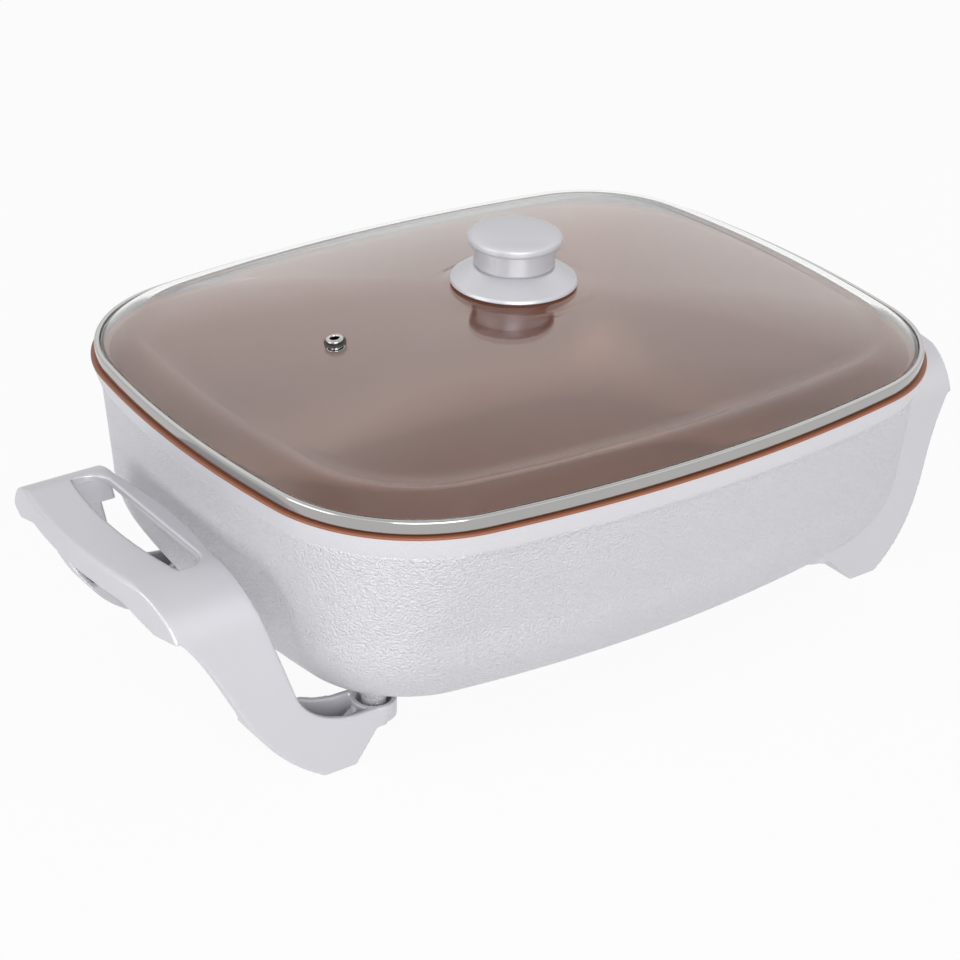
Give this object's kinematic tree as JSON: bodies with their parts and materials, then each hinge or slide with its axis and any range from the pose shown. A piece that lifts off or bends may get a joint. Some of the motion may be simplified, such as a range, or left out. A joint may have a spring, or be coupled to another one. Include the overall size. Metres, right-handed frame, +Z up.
{
  "type": "electric skillet",
  "caption": "Deep rectangular electric skillet with a ceramic lining, a domed glass lid that lifts off, and moulded handles whose legs are the feet.",
  "frame": {"origin": "on the counter, under the middle of the pan", "axes": "+X along the pan towards the socket end, +Y across the pan, +Z up"},
  "size_m": [0.52, 0.332, 0.2095],
  "materials": {
    "pan_paint": "cast aluminium under a pale silver paint with a hammered texture",
    "ceramic_lining": "copper-brown ceramic lining, semi-gloss",
    "handle_paint": "heat-resistant moulding under satin silver paint",
    "knob_paint": "moulding under satin silver paint",
    "lid_glass": "clear tempered glass",
    "rim_steel": "polished stainless steel",
    "guard_steel": "plain stamped steel",
    "element_steel": "sheathed element, dull steel",
    "pin_nickel": "nickel-plated pins",
    "screw_steel": "zinc-plated steel",
    "insert_brass": "turned brass",
    "insulator": "white glazed insulator",
    "seal": "dark silicone"
  },
  "bodies": {
    "base": {"pan": "pan_paint", "ceramic_coating": "ceramic_lining", "heating_element": "element_steel", "terminal_pins": "pin_nickel", "terminal_insulators": "insulator", "socket_guard": "guard_steel", "guard_screws": "screw_steel", "left_handle": "handle_paint", "right_handle": "handle_paint", "left_handle_cover": "handle_paint", "right_handle_cover": "handle_paint", "leg_screws": "screw_steel", "leg_washers": "screw_steel", "cover_screws": "screw_steel"},
    "lid": {"lid_glass": "lid_glass", "lid_rim": "rim_steel", "rim_seal": "seal", "vent_grommet": "rim_steel", "vent_seal": "seal", "knob": "knob_paint", "knob_flange": "knob_paint", "knob_insert": "insert_brass", "knob_gasket": "seal", "glass_gasket": "seal", "knob_washer": "screw_steel", "knob_screw": "screw_steel"}
  },
  "joints": [
    {"name": "lid_lift", "type": "slide", "parent": "base", "child": "lid", "axis": [0, 0, 1], "range_m": [0, 0.15]}
  ]
}
